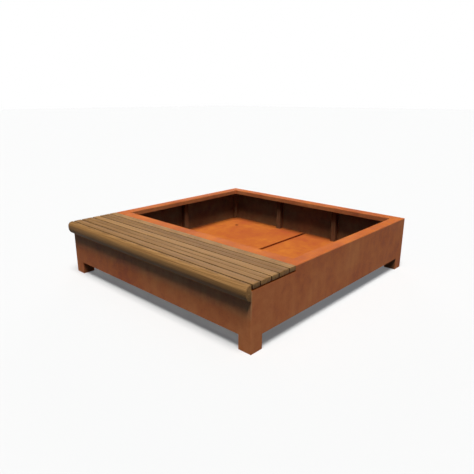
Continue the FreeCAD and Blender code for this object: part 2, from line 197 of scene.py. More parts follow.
def floor_material():
    """Pale to the camera, a little less in a reflection, and dark to bounced light."""
    material, tree = new_material("pale_studio_floor")
    path = add(tree, "ShaderNodeLightPath")
    seen = add(tree, "ShaderNodeMath", {
        0: (path, "Is Glossy Ray"), 1: MIRRORED_SHARE, 2: (path, "Is Camera Ray"),
    }, operation="MULTIPLY_ADD")
    shade = add(tree, "ShaderNodeMix", {
        "Factor": (seen, "Value"), MIX_A: linear(FLOOR_DARK), MIX_B: linear(FLOOR_PALE),
    }, data_type="RGBA")
    diffuse = add(tree, "ShaderNodeBsdfDiffuse", {"Color": (shade, MIX_RESULT)})
    glowing = add(tree, "ShaderNodeMath", {0: (seen, "Value"), 1: GLOW_STRENGTH}, operation="MULTIPLY")
    glow = add(tree, "ShaderNodeEmission", {"Color": linear(FLOOR_GLOW), "Strength": (glowing, "Value")})
    both = add(tree, "ShaderNodeAddShader", {0: (diffuse, "BSDF"), 1: (glow, "Emission")})
    add(tree, "ShaderNodeOutputMaterial", {"Surface": (both, "Shader")})
    return material


floor_mesh = bpy.data.meshes.new("studio_floor")
floor_corners = FLOOR_HALF_SIZE * np.array([(-1, -1, 0), (1, -1, 0), (1, 1, 0), (-1, 1, 0)], float)
floor_mesh.from_pydata(floor_corners, [], [(0, 1, 2, 3)])
floor = bpy.data.objects.new("studio_floor", floor_mesh)
floor_mesh.materials.append(floor_material())
bpy.context.scene.collection.objects.link(floor)
print("floor:", 2 * FLOOR_HALF_SIZE, "m wide")

# %% [markdown]
# ## Lights and sky
#
# The light in the photograph is broad and soft, and comes from high above the front
# right corner: the walls are darker than the rims, and the floor of the basin is
# bright. An area light close by would light one end of the box more than the other. A
# sun is far away, and its width in the sky sets how soft the shadows are. A weak fill
# from low behind on the left shows the two far walls to whoever walks round the box.
# The sky gives a little light from straight above, and hardly any from the horizon.

# %% Make the lights
KEY_AZIMUTH = math.radians(43)
KEY_ELEVATION = math.radians(74.5)
KEY_WIDTH = math.radians(27)
KEY_STRENGTH = 4.1
FILL_AZIMUTH = math.radians(223)
FILL_ELEVATION = math.radians(3)
FILL_WIDTH = math.radians(30)
FILL_STRENGTH = 0.8


def add_sun(name, azimuth, elevation, width, strength):
    """A light from far away, whose width in the sky sets how soft its shadows are."""
    data = bpy.data.lights.new(name, "SUN")
    data.angle = width
    data.energy = strength
    light = bpy.data.objects.new(name, data)
    light.rotation_euler = (-direction(azimuth, elevation)).to_track_quat("-Z", "Y").to_euler()
    bpy.context.scene.collection.objects.link(light)
    return light


key = add_sun("key", KEY_AZIMUTH, KEY_ELEVATION, KEY_WIDTH, KEY_STRENGTH)
fill = add_sun("fill", FILL_AZIMUTH, FILL_ELEVATION, FILL_WIDTH, FILL_STRENGTH)
print("lights:", key.name, "and", fill.name)

# %% Make the sky
SKY_TINT = (0.75, 0.98, 1.2, 1.0)
SKY_START_Z = 0.6
SKY_HORIZON = 0.035
SKY_ZENITH = 0.25


def fill_sky(tree):
    """White to the camera, and to all else dim up to a height, then growing upwards."""
    way = add(tree, "ShaderNodeTexCoord")
    parts = add(tree, "ShaderNodeSeparateXYZ", {"Vector": (way, "Generated")})
    height = add(tree, "ShaderNodeMapRange", {
        "Value": (parts, "Z"), "From Min": SKY_START_Z, "To Min": SKY_HORIZON, "To Max": SKY_ZENITH,
    })
    light = add(tree, "ShaderNodeBackground", {"Color": SKY_TINT, "Strength": (height, "Result")})
    white = add(tree, "ShaderNodeBackground", {"Color": linear("FFFFFF")})
    path = add(tree, "ShaderNodeLightPath")
    both = add(tree, "ShaderNodeMixShader", {
        "Fac": (path, "Is Camera Ray"), 1: (light, "Background"), 2: (white, "Background"),
    })
    add(tree, "ShaderNodeOutputWorld", {"Surface": (both, "Shader")})


world = bpy.data.worlds.new("studio")
bpy.context.scene.world = world
world.use_nodes = True
world.node_tree.nodes.clear()
fill_sky(world.node_tree)
bpy.context.scene.view_settings.view_transform = "Standard"
print("sky:", SKY_HORIZON, "at the horizon,", SKY_ZENITH, "overhead")

# %% [markdown]
# ## Rust
#
# Weathering steel is rolled steel with a little copper, left bare. Rain and sun give
# it a dense matt rust: fine grained, orange where it is young or often wet, browner
# where it has settled, with faint runs down the walls. It could be painted on with
# images. Noise in several sizes does as well and has no seams: broad blotches, hand
# sized clouds and a fine grain for the colour, pits for the relief, and runs, which
# are noise drawn out downwards. Real rust has a grain and pits of well under a
# millimetre. They wouldn't show from here, so they are drawn a few times coarser.

# %% Rust patterns
RUN_MM = 40
RUN_HEIGHT_MM = 420
# For each noise, the size of its cells in mm, its detail and its roughness
RUST_NOISES = {
    "blotch": (420, 3.0, 0.55),
    "cloud": (70, 6.0, 0.72),
    "run": (RUN_MM, 2.0, 0.5),
    "grain": (5, 4.0, 0.7),
    "pit": (2.2, 2.0, 0.6),
}
RUST_WEIGHTS = {"blotch": 0.42, "cloud": 0.38, "grain": 0.20}
PALE_FROM = 0.42
PALE_TO = 0.66
FAINTEST_RUN = 0.03
STRONGEST_RUN = 0.20


def rust_noises(tree, place):
    """The noises of rust by name. A run reads its place squeezed in height."""
    squeezed = add(tree, "ShaderNodeMapping", {
        "Vector": (place, "Object"), "Scale": (1.0, 1.0, RUN_MM / RUN_HEIGHT_MM),
    })
    noises = {}
    for noise_name, (size_mm, detail, roughness) in RUST_NOISES.items():
        source = (squeezed, "Vector") if noise_name == "run" else (place, "Object")
        noises[noise_name] = add(tree, "ShaderNodeTexNoise", {
            "Vector": source, "Scale": per_millimetre(size_mm), "Detail": detail, "Roughness": roughness,
        })
    return noises


def rust_tones(tree, noises):
    """Two values about 0.5: the mottle of flat surfaces, and that of walls, with runs.

    A run's noise, less its mean of 0.5, is added times a share that is strongest in
    the palest blotches.
    """
    mottle = weighted_sum(tree, noises, RUST_WEIGHTS)
    share = add(tree, "ShaderNodeMapRange", {
        "Value": (noises["blotch"], "Fac"), "From Min": PALE_FROM, "From Max": PALE_TO,
        "To Min": FAINTEST_RUN, "To Max": STRONGEST_RUN,
    })
    centred = add(tree, "ShaderNodeMath", {0: (noises["run"], "Fac"), 1: 0.5}, operation="SUBTRACT")
    streaked = add(tree, "ShaderNodeMath", {
        0: (centred, "Value"), 1: (share, "Result"), 2: (mottle, "Value"),
    }, operation="MULTIPLY_ADD")
    return mottle, streaked


print("noises of rust:", ", ".join(RUST_NOISES))

# %% [markdown]
# ## Where shade is painted, and where the drains are
#
# Some of the steel's colour is painted shade. Inside the basin, under the rim, the
# walls are painted dark below and greyer towards the rim. The front wall is painted
# greyer in a strip just under the rail, for the rail's shadow. Water leaves a dark
# ring round each drain hole. Such places could be painted on by hand. Here each is
# worked out from the point's coordinates, as a value from 0 to 1, and a tint is mixed
# in by it.

# %% The painted shade inside the basin
basin_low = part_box("floor_plate_left")[0]
basin_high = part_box("floor_plate_right")[1]
BASIN_HALF_X = (basin_high.x - basin_low.x) / 2
BASIN_HALF_Y = (basin_high.y - basin_low.y) / 2
BASIN_MIDDLE_Y = (basin_high.y + basin_low.y) / 2
WALL_SLACK = 0.0015
LIP_DISTANCE = 0.0805


def from_middle(tree, place):
    """How far a point is from the middle of the basin, along X and along Y.

    The basin is the same on both sides of its middle, so this is all that is needed.
    """
    parts = add(tree, "ShaderNodeSeparateXYZ", {"Vector": (place, "Object")})
    far_x = add(tree, "ShaderNodeMath", {0: (parts, "X")}, operation="ABSOLUTE")
    moved_y = add(tree, "ShaderNodeMath", {0: (parts, "Y"), 1: BASIN_MIDDLE_Y}, operation="SUBTRACT")
    far_y = add(tree, "ShaderNodeMath", {0: (moved_y, "Value")}, operation="ABSOLUTE")
    return far_x, far_y


def under_rim(tree, place):
    """1 on the basin's inner walls and what stands against them, where shade is painted, 0 elsewhere.

    The distance to the nearest wall is half the basin's size less the distance from
    its middle, the smaller of the two ways. It is below 0 outside the basin, and past
    LIP_DISTANCE on the rim's lip and beyond.
    """
    far_x, far_y = from_middle(tree, place)
    gap_x = add(tree, "ShaderNodeMath", {0: BASIN_HALF_X, 1: (far_x, "Value")}, operation="SUBTRACT")
    gap_y = add(tree, "ShaderNodeMath", {0: BASIN_HALF_Y, 1: (far_y, "Value")}, operation="SUBTRACT")
    depth = add(tree, "ShaderNodeMath", {0: (gap_x, "Value"), 1: (gap_y, "Value")}, operation="MINIMUM")
    inside = add(tree, "ShaderNodeMath", {0: (depth, "Value"), 1: -WALL_SLACK}, operation="GREATER_THAN")
    behind_lip = add(tree, "ShaderNodeMath", {0: (depth, "Value"), 1: LIP_DISTANCE}, operation="LESS_THAN")
    return add(tree, "ShaderNodeMath", {0: (inside, "Value"), 1: (behind_lip, "Value")},
               operation="MULTIPLY")


print(f"basin: {2 * BASIN_HALF_X:.3f} x {2 * BASIN_HALF_Y:.3f} m")

# %% The painted shadow under the rail, and the drains' rings
FRONT_FACE_Y = -0.97
# Heights over which the painted shadow under the rail grows
RAIL_SHADOW_LOW_Z = 0.21
RAIL_SHADOW_HIGH_Z = 0.29
DRAIN_INSET = 0.248
DRAIN_RADIUS = 0.012
STAIN_WIDTH = 0.014


def under_rail(tree, place):
    """Painted shadow: 0 on the front wall up to a height, growing to 1 just under the rail, 0 elsewhere."""
    parts = add(tree, "ShaderNodeSeparateXYZ", {"Vector": (place, "Object")})
    in_front = add(tree, "ShaderNodeMath", {0: (parts, "Y"), 1: FRONT_FACE_Y}, operation="LESS_THAN")
    rise = add(tree, "ShaderNodeMapRange", {
        "Value": (parts, "Z"), "From Min": RAIL_SHADOW_LOW_Z, "From Max": RAIL_SHADOW_HIGH_Z,
    })
    return add(tree, "ShaderNodeMath", {0: (in_front, "Value"), 1: (rise, "Result")}, operation="MULTIPLY")


def round_drains(tree, place):
    """1 at the rims of the four drain holes, fading to 0 over the stain's width.

    The four holes are mirror images, so one distance serves them all: the length of
    (distance from the middle along X - hole's, distance along Y - hole's).
    """
    far_x, far_y = from_middle(tree, place)
    folded = add(tree, "ShaderNodeCombineXYZ", {"X": (far_x, "Value"), "Y": (far_y, "Value")})
    hole = (BASIN_HALF_X - DRAIN_INSET, BASIN_HALF_Y - DRAIN_INSET, 0.0)
    away = add(tree, "ShaderNodeVectorMath", {0: (folded, "Vector"), 1: hole}, operation="DISTANCE")
    return add(tree, "ShaderNodeMapRange", {
        "Value": (away, "Value"), "From Min": DRAIN_RADIUS, "From Max": DRAIN_RADIUS + STAIN_WIDTH,
        "To Min": 1.0, "To Max": 0.0,
    }, interpolation_type="SMOOTHSTEP")


print(f"a drain's ring is {2000 * (DRAIN_RADIUS + STAIN_WIDTH):.0f} mm across")

# %% [markdown]
# ## Weathering steel
#
# The finish also reads the surface's own normal. Upright walls get a lighter colour
# than flat surfaces, which is painted light, and the flats are more orange. Rust is no
# longer metal: it has no mirror in it, and hardly any gloss. Its colour could come from
# one ramp. Walls and flats have one each, because their browns differ and not only
# their lightness. The walls, the ribs, the floor and the welds are four mixes of the
# one recipe.

# %% Tints by place
# Painted shade: tints that multiply the wall's colour, darker low on the inner wall and greyer high near
# the rim. The ribs' tints are darker still.
WALL_SHADE_TINTS = ((0.66, 0.84, 1.0, 1.0), (0.72, 1.42, 2.4, 1.0))
RIB_SHADE_TINTS = ((0.42, 0.50, 0.62, 1.0), (0.30, 0.40, 0.55, 1.0))
TINT_LOW_Z = 0.16
TINT_HIGH_Z = 0.30
# Painted shadow under the rail: this tint makes the front wall greyer there
RAIL_SHADOW_TINT = (1.0, 1.42, 1.8, 1.0)
STAIN_TINT = (0.40, 0.26, 0.20, 1.0)


def tinted_by_place(tree, place, wall, shade_tints):
    """A wall's colour with painted shade inside the basin and a painted shadow under the rail."""
    spot = add(tree, "ShaderNodeSeparateXYZ", {"Vector": (place, "Object")})
    rise = add(tree, "ShaderNodeMapRange", {
        "Value": (spot, "Z"), "From Min": TINT_LOW_Z, "From Max": TINT_HIGH_Z,
    })
    tint = add(tree, "ShaderNodeMix", {
        "Factor": (rise, "Result"), MIX_A: shade_tints[0], MIX_B: shade_tints[1],
    }, data_type="RGBA")
    inner = add(tree, "ShaderNodeMix", {
        "Factor": (under_rim(tree, place), "Value"), MIX_A: (wall, "Color"), MIX_B: (tint, MIX_RESULT),
    }, data_type="RGBA", blend_type="MULTIPLY")
    return add(tree, "ShaderNodeMix", {
        "Factor": (under_rail(tree, place), "Value"), MIX_A: (inner, MIX_RESULT), MIX_B: RAIL_SHADOW_TINT,
    }, data_type="RGBA", blend_type="MULTIPLY")


print("inner walls change from", TINT_LOW_Z, "to", TINT_HIGH_Z, "m above the ground")

# %% Weathering steel material
WALL_STOPS = (0.37, 0.50, 0.63)
FLAT_STOPS = (0.39, 0.50, 0.61)
WALL_NORMAL_Z = 0.35
FLAT_NORMAL_Z = 0.8
RELIEF_WEIGHTS = {"grain": 1.0, "pit": 0.5}


def steel_material(name, wall_colours, flat_colours, shade_tints=None, stained_drains=False):
    """Matt rust on rolled steel sheet. Each list of colours goes from dark to light."""
    material, tree = new_material(name)
    place = add(tree, "ShaderNodeTexCoord")
    noises = rust_noises(tree, place)
    mottle, streaked = rust_tones(tree, noises)
    wall = add(tree, "ShaderNodeValToRGB", {"Fac": (streaked, "Value")})
    set_stops(wall, WALL_STOPS, wall_colours)
    flat = add(tree, "ShaderNodeValToRGB", {"Fac": (mottle, "Value")})
    set_stops(flat, FLAT_STOPS, flat_colours)
    wall_colour = (wall, "Color")
    if shade_tints:
        wall_colour = (tinted_by_place(tree, place, wall, shade_tints), MIX_RESULT)
    surface = add(tree, "ShaderNodeNewGeometry")
    normal = add(tree, "ShaderNodeSeparateXYZ", {"Vector": (surface, "Normal")})
    facing_up = add(tree, "ShaderNodeMapRange", {
        "Value": (normal, "Z"), "From Min": WALL_NORMAL_Z, "From Max": FLAT_NORMAL_Z,
    })
    # Painted light: upright faces take the lighter wall colours, flat faces the flat colours
    colour = add(tree, "ShaderNodeMix", {
        "Factor": (facing_up, "Result"), MIX_A: wall_colour, MIX_B: (flat, "Color"),
    }, data_type="RGBA")
    if stained_drains:
        colour = add(tree, "ShaderNodeMix", {
            "Factor": (round_drains(tree, place), "Result"), MIX_A: (colour, MIX_RESULT), MIX_B: STAIN_TINT,
        }, data_type="RGBA", blend_type="MULTIPLY")
    rough = add(tree, "ShaderNodeMapRange", {
        "Value": (noises["cloud"], "Fac"), "From Min": 0.3, "From Max": 0.7, "To Min": 0.62, "To Max": 0.82,
    })
    relief = weighted_sum(tree, noises, RELIEF_WEIGHTS)
    bump = add(tree, "ShaderNodeBump", {"Strength": 0.35, "Distance": 0.0008, "Height": (relief, "Value")})
    shader = add(tree, "ShaderNodeBsdfPrincipled", {
        "Base Color": (colour, MIX_RESULT), "Roughness": (rough, "Result"), "Normal": (bump, "Normal"),
        "Specular IOR Level": 0.35,
    })
    add(tree, "ShaderNodeOutputMaterial", {"Surface": (shader, "BSDF")})
    return material


print("one recipe, of", len(RUST_NOISES), "noises")

# %% Make the four steels
# The walls' colours are lighter than the rims', as painted light on upright faces
WALL_COLOURS = ("B85B37", "D67A45", "E48E54")
RIM_COLOURS = ("9E491A", "B3591A", "C26920")
wall_steel = steel_material("weathering_steel_walls", WALL_COLOURS, RIM_COLOURS, shade_tints=WALL_SHADE_TINTS)
# The ribs' copy of the steel carries darker painted shade than the walls'
rib_steel = steel_material("weathering_steel_ribs", WALL_COLOURS, RIM_COLOURS, shade_tints=RIB_SHADE_TINTS)
floor_steel = steel_material(
    "weathering_steel_floor",
    wall_colours=("A8562A", "B86438", "C87240"),
    flat_colours=("A84A1E", "B35A1B", "C26C1E"),
    stained_drains=True,
)
weld_steel = steel_material(
    "weathering_steel_welds",
    wall_colours=("8A4522", "A4562C", "BA6A3A"),
    flat_colours=("8E481C", "A65622", "B8662E"),
)
print("steel materials:", wall_steel.name, rib_steel.name, floor_steel.name, weld_steel.name)

# %% [markdown]
# ## Galvanised steel
#
# The bars under the slats and the bolts are dipped in molten zinc. It sets as a grey
# skin of crystals, or spangles, a centimetre or so across, each with its own tone.
# Voronoi cells are just such a pattern. A metal takes its colour at the highlight
# from its base colour, so it needs no more than that colour and its roughness.

# %% Galvanised steel material
SPANGLE_MM = 11


def zinc_material():
    """Hot dip galvanised steel with spangles of slightly different greys."""
    material, tree = new_material("galvanised_steel")
    place = add(tree, "ShaderNodeTexCoord")
    spangle = add(tree, "ShaderNodeTexVoronoi", {
        "Vector": (place, "Object"), "Scale": per_millimetre(SPANGLE_MM),
    })
    tone = add(tree, "ShaderNodeSeparateColor", {"Color": (spangle, "Color")})
    colour = add(tree, "ShaderNodeValToRGB", {"Fac": (tone, "Red")})
    set_stops(colour, (0.0, 1.0), ("8C9093", "B4B8BA"))
    rough = add(tree, "ShaderNodeMapRange", {"Value": (tone, "Green"), "To Min": 0.38, "To Max": 0.58})
    shader = add(tree, "ShaderNodeBsdfPrincipled", {
        "Base Color": (colour, "Color"), "Metallic": 1.0, "Roughness": (rough, "Result"),
    })
    add(tree, "ShaderNodeOutputMaterial", {"Surface": (shader, "BSDF")})
    return material


zinc = zinc_material()
print("zinc material:", zinc.name)

# %% [markdown]
# ## Finishing the solids
#
# The record says what each steel solid was cut from, and its name says which part it
# is. Materials could be given one by one, but a rule by name does all 36 at once. The
# walls of the real basin are nearly black although its floor is bright, so the two
# floor plates are kept from throwing their orange light on to them.

# %% Give the solids their finishes


def finish_for(node_name, slot_name):
    """The material of a solid, or nothing for the timber, which is made again."""
    if node_name.startswith("floor_plate"):
        return floor_steel
    if "_rib" in node_name:
        return rib_steel
    return {"weathering_steel": wall_steel, "galvanised_steel": zinc}.get(slot_name)


finished = 0
for part in frame["record"]["subparts"]:
    material = finish_for(part["node"], part["material_slot"])
    if material:
        slots = frame["nodes"][part["node"]].data.materials
        slots.clear()
        slots.append(material)
        finished += 1
for node_name in ("floor_plate_left", "floor_plate_right"):
    frame["nodes"][node_name].visible_diffuse = False
print("finished:", finished, "steel solids")

# %% [markdown]
# ## Hardwood
#
# The slats are planed tropical hardwood, oiled once and lightly weathered: mid brown
# with a touch of grey. A board shows the rings of its tree cut lengthwise, and along
# the grain it has broad bands, thin streaks and short dark pores. The rings are real
# rings about a long axis below the board, slightly tilted, so that each board cuts
# them at its own angle. Bands, streaks and pores are noise drawn out along the board.
# Real pores are a few tenths of a millimetre wide, and are drawn wider so that they
# show. An image of wood would repeat on every board. Here each board carries four
# values: its place in the log, its tone, which is also darkened by grime and painted
# shade between the boards, how worn its edges are, with a painted highlight on them,
# and where its upright faces are made paler by painted light.

# %% Wood patterns
# For each noise, the width and length of its cells in mm, its detail and its roughness
WOOD_NOISES = {
    "bands": (14, 1100, 2.0, 0.5),
    "streaks": (3, 320, 3.0, 0.6),
    "pores": (1.0, 45, 3.0, 0.65),
}
WOOD_WEIGHTS = {"rings": 0.08, "bands": 0.34, "streaks": 0.38, "pores": 0.20}
RING_MM = 7
LOG_TILT = (0.0, math.radians(1.6), math.radians(1.1))
# A wave texture turns by this many radians for each cell of its scale
WAVE_RADIANS = 20


def wood_patterns(tree, shift):
    """The patterns of timber by name, each drawn out along the board."""
    log = add(tree, "ShaderNodeMapping", {"Vector": (shift, "Vector"), "Rotation": LOG_TILT})
    rings = add(tree, "ShaderNodeTexWave", {
        "Vector": (log, "Vector"), "Scale": 2 * math.pi * per_millimetre(RING_MM) / WAVE_RADIANS,
        "Distortion": 3.0, "Detail": 2.0, "Detail Scale": 0.6, "Detail Roughness": 0.5,
    }, wave_type="RINGS", rings_direction="X", wave_profile="SIN")
    patterns = {"rings": rings}
    for noise_name, (width_mm, length_mm, detail, roughness) in WOOD_NOISES.items():
        drawn_out = add(tree, "ShaderNodeMapping", {
            "Vector": (shift, "Vector"), "Scale": (width_mm / length_mm, 1.0, 1.0),
        })
        patterns[noise_name] = add(tree, "ShaderNodeTexNoise", {
            "Vector": (drawn_out, "Vector"), "Scale": per_millimetre(width_mm),
            "Detail": detail, "Roughness": roughness,
        })
    return patterns


print("patterns of wood:", ", ".join(WOOD_WEIGHTS))

# %% Hardwood material
WOOD_STOPS = (0.10, 0.36, 0.50, 0.64)
WOOD_COLOURS = ("331B08", "6E4B27", "8D6638", "A97E4C")
# The colour of the worn top edges, which is also a painted highlight
WORN_LIT_COLOUR = "BC9366"
# Painted light: this tint makes the rail's upright faces and the board ends paler
SIDE_LIGHT_TINT = (1.46, 1.46, 1.52, 1.0)


def side_light_mask(tree, open_air):
    """Painted light: 1 on an upright face that the mesh marks, which is made paler, and 0 on top and
    underneath.
    """
    surface = add(tree, "ShaderNodeNewGeometry")
    normal = add(tree, "ShaderNodeSeparateXYZ", {"Vector": (surface, "Normal")})
    not_top = add(tree, "ShaderNodeMapRange", {
        "Value": (normal, "Z"), "From Min": 0.0, "From Max": 0.85, "To Min": 1.0, "To Max": 0.0,
    })
    not_under = add(tree, "ShaderNodeMapRange", {"Value": (normal, "Z"), "From Min": -0.6, "From Max": 0.0})
    side = add(tree, "ShaderNodeMath", {0: (not_top, "Result"), 1: (not_under, "Result")},
               operation="MULTIPLY")
    return add(tree, "ShaderNodeMath", {0: (side, "Value"), 1: (open_air, "Fac")}, operation="MULTIPLY")


def timber_material():
    """Planed and oiled hardwood. Each board carries its tone, its worn edges and its painted light and
    shade itself.
    """
    material, tree = new_material("oiled_hardwood")
    place = add(tree, "ShaderNodeTexCoord")
    carried = {}
    for value_name in ("board", "tone", "arris", "open_air"):
        carried[value_name] = add(tree, "ShaderNodeAttribute", attribute_name=value_name)
    shift = add(tree, "ShaderNodeVectorMath", {0: (place, "Object"), 1: (carried["board"], "Vector")},
                operation="ADD")
    patterns = wood_patterns(tree, shift)
    figure = weighted_sum(tree, patterns, WOOD_WEIGHTS)
    toned = add(tree, "ShaderNodeMath", {0: (figure, "Value"), 1: (carried["tone"], "Fac")},
                operation="ADD")
    colour = add(tree, "ShaderNodeValToRGB", {"Fac": (toned, "Value")})
    set_stops(colour, WOOD_STOPS, WOOD_COLOURS)
    # Worn edges made lighter, partly wear and partly a painted highlight
    worn_lit_colour = add(tree, "ShaderNodeMix", {
        "Factor": (carried["arris"], "Fac"), MIX_A: (colour, "Color"), MIX_B: linear(WORN_LIT_COLOUR),
    }, data_type="RGBA")
    side_lit_colour = add(tree, "ShaderNodeMix", {
        "Factor": (side_light_mask(tree, carried["open_air"]), "Value"),
        MIX_A: (worn_lit_colour, MIX_RESULT), MIX_B: SIDE_LIGHT_TINT,
    }, data_type="RGBA", blend_type="MULTIPLY")
    rough = add(tree, "ShaderNodeMapRange", {
        "Value": (patterns["pores"], "Fac"), "To Min": 0.5, "To Max": 0.75,
    })
    bump = add(tree, "ShaderNodeBump", {"Strength": 0.4, "Distance": 0.0006, "Height": (figure, "Value")})
    shader = add(tree, "ShaderNodeBsdfPrincipled", {
        "Base Color": (side_lit_colour, MIX_RESULT), "Roughness": (rough, "Result"), "Normal": (bump, "Normal"),
        "Specular IOR Level": 0.25,
    })
    add(tree, "ShaderNodeOutputMaterial", {"Surface": (shader, "BSDF")})
    return material


timber = timber_material()
print("timber material:", timber.name)

# %% [markdown]
# ## A profile carried along a line
#
# A board, a rail and a weld bead are all one thing to the maker: an outline moved
# along a line. Blender can do that with a curve and a bevel object. Here it is done
# with numpy instead, as a grid of points with one row for each station on the line
# and one column for each point of the outline. That keeps every point in hand, so
# the ends can be eased and a bead can ripple.

# %% Outline helpers


def outline(corners, steps=6):
    """Points round a closed outline whose corners are rounded.

    A corner is (a, b, radius). Its arc starts and ends where the sides touch a circle
    of that radius, at radius / tan(half the corner's angle) from the corner. A point
    of the arc is the circle's centre plus the radius along an evenly turned spoke.
    """
    points = []
    for here, (a, b, radius) in enumerate(corners):
        corner = np.array((a, b), float)
        back = np.array(corners[here - 1][:2], float) - corner
        ahead = np.array(corners[(here + 1) % len(corners)][:2], float) - corner
        back /= np.linalg.norm(back)
        ahead /= np.linalg.norm(ahead)
        half = math.acos(np.clip(back @ ahead, -1, 1)) / 2
        bisector = (back + ahead) / np.linalg.norm(back + ahead)
        centre = corner + bisector * radius / math.sin(half)
        start = corner + back * radius / math.tan(half) - centre
        finish = corner + ahead * radius / math.tan(half) - centre
        turn = math.atan2(start[0] * finish[1] - start[1] * finish[0], start @ finish)
        angles = math.atan2(start[1], start[0]) + np.linspace(0, turn, steps + 1)
        points.append(centre + radius * np.stack([np.cos(angles), np.sin(angles)], 1))
    return np.concatenate(points)


def outward(points):
    """Unit normals of a closed outline that runs anticlockwise.

    At each point it is the mean of the two sides' normals, and a side (da, db) has
    the normal (db, -da).
    """
    side = np.roll(points, -1, 0) - points
    normal = np.stack([side[:, 1], -side[:, 0]], 1)
    normal /= np.linalg.norm(normal, axis=1, keepdims=True)
    normal = normal + np.roll(normal, 1, 0)
    return normal / np.linalg.norm(normal, axis=1, keepdims=True)


square = outline([(0, 0, 0.002), (0.01, 0, 0.002), (0.01, 0.01, 0.002), (0, 0.01, 0.002)])
print("a rounded square has", len(square), "points")

# %% Mesh helper


def mesh_from_grid(name, grids, material, attributes=None, smooth_degrees=35):
    """A piece from closed tubes of points, each a grid (stations, outline points, 3).

    Point (i, j) joins (i, j + 1), (i + 1, j + 1) and (i + 1, j), with j going round.
    The first and last rows are closed with one flat face each.
    """
    points = []
    faces = []
    first = 0
    for grid in grids:
        rows, columns = grid.shape[:2]
        index = first + np.arange(rows * columns).reshape(rows, columns)
        after = np.roll(index, -1, 1)
        quads = np.stack([index[:-1], after[:-1], after[1:], index[1:]], -1).reshape(-1, 4)
        faces += quads.tolist()
        faces.append(index[0, ::-1].tolist())
        faces.append(index[-1].tolist())
        points.append(grid.reshape(-1, 3))
        first += rows * columns
    mesh = bpy.data.meshes.new(name)
    mesh.from_pydata(np.concatenate(points), [], faces)
    for value_name, values in (attributes or {}).items():
        is_vector = values.ndim == 2
        layer = mesh.attributes.new(value_name, "FLOAT_VECTOR" if is_vector else "FLOAT", "POINT")
        layer.data.foreach_set("vector" if is_vector else "value", values.astype(np.float32).ravel())
    mesh.polygons.foreach_set("use_smooth", np.ones(len(mesh.polygons), bool))
    mesh.set_sharp_from_angle(angle=math.radians(smooth_degrees))
    mesh.update()
    mesh.materials.append(material)
    piece = bpy.data.objects.new(name, mesh)
    bpy.context.scene.collection.objects.link(piece)
    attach(piece, "root")
    return piece


print("two stations of that square make", len(square) + 2, "faces")

# %% [markdown]
# ## Slats
#
# Each slat is a planed board. Its long edges are eased on the top, so that they don't
# splinter, and the ends are only sanded. The two wide boards have a groove along the
# middle. A cube with a bevel would give the shape, but not the slight waviness that
# planed timber has, and no way to say where a board is worn. The outline is drawn
# once for each board, inset at the ends to ease them, and the height of the board
# wanders by a few tenths of a millimetre along its length.

# %% Board helpers
TOP_EASE = 0.003
LOW_EASE = 0.001
END_EASE = 0.0008
EASE_ROWS = 4
GROOVE_WIDTH = 0.004
GROOVE_DEPTH = 0.003
STATION_STEP = 0.02
WANDER = 0.0004
WANDER_WAVES = np.array([3.1, 5.3, 9.7])
WANDER_BAND = 0.004


def board_outline(low, high, grooved):
    """The board's section in (y, z), anticlockwise seen from +X."""
    corners = [(low.y, low.z, LOW_EASE), (high.y, low.z, LOW_EASE), (high.y, high.z, TOP_EASE)]
    if grooved:
        middle = (low.y + high.y) / 2
        half = GROOVE_WIDTH / 2
        bed = high.z - GROOVE_DEPTH
        corners += [(middle + half, high.z, LOW_EASE), (middle + half, bed, LOW_EASE),
                    (middle - half, bed, LOW_EASE), (middle - half, high.z, LOW_EASE)]
    corners.append((low.y, high.z, TOP_EASE))
    return outline(corners)


def sweep_board(section, start, end, seed):
    """Carry a section along X, eased at both ends, with a slow wander in height.

    Row i is the section moved inward by inset(i) along its normals. At an end the
    inset falls from END_EASE to 0 as a quarter circle while x moves in by as much.
    The top is lowered by up to WANDER, after the mean of three sines of x.
    """
    rng = np.random.default_rng(seed)
    turn = np.linspace(0, math.pi / 2, EASE_ROWS)
    ease_x = END_EASE * (1 - np.cos(turn))
    ease_inset = END_EASE * (1 - np.sin(turn))
    inner = np.linspace(start + END_EASE, end - END_EASE, int((end - start) / STATION_STEP))[1:-1]
    x = np.concatenate([start + ease_x, inner, (end - ease_x)[::-1]])
    inset = np.concatenate([ease_inset, np.zeros(len(inner)), ease_inset[::-1]])
    grid = np.empty((len(x), len(section), 3))
    grid[..., 0] = x[:, None]
    grid[..., 1:] = section[None] - inset[:, None, None] * outward(section)[None]
    phase = rng.uniform(0, 2 * math.pi, 3)
    waves = np.sin(x[:, None] * WANDER_WAVES + phase).sum(1) / 3
    is_top = (section[:, 1] > section[:, 1].max() - WANDER_BAND)[None, :]
    grid[..., 2] -= np.where(is_top, WANDER * (1 + waves[:, None]) / 2, 0)
    return grid


print("stations on a 2 m board:", int(2.0 / STATION_STEP) - 2 + 2 * EASE_ROWS)

# %% [markdown]
# ## How a board has aged, and its painted light and shade
#
# A seat is rubbed bright along its top edges, and a painted highlight is laid on the
# same edges. Grime stays in the gaps between the boards and in the grooves, and painted
# shade darkens the sides of the gaps further. A finish could guess this from the
# shape's curvature, but only at render time. A value on each point of the mesh is
# known beforehand and stays with the board.

# %% Worn and lit edges, grime and painted shade in the gaps, and the ends
# Worn top edges, with a painted highlight on them
WORN_LIT_REACH = 0.005
WORN_LIT_SHARE = 0.2
# Darkening down the sides of the boards: grime and painted shade in the gaps
DIRT_AND_SHADE_START = 0.0005
DIRT_AND_SHADE_DEPTH = 0.0025
DIRT_AND_SHADE_DARKNESS = 0.34


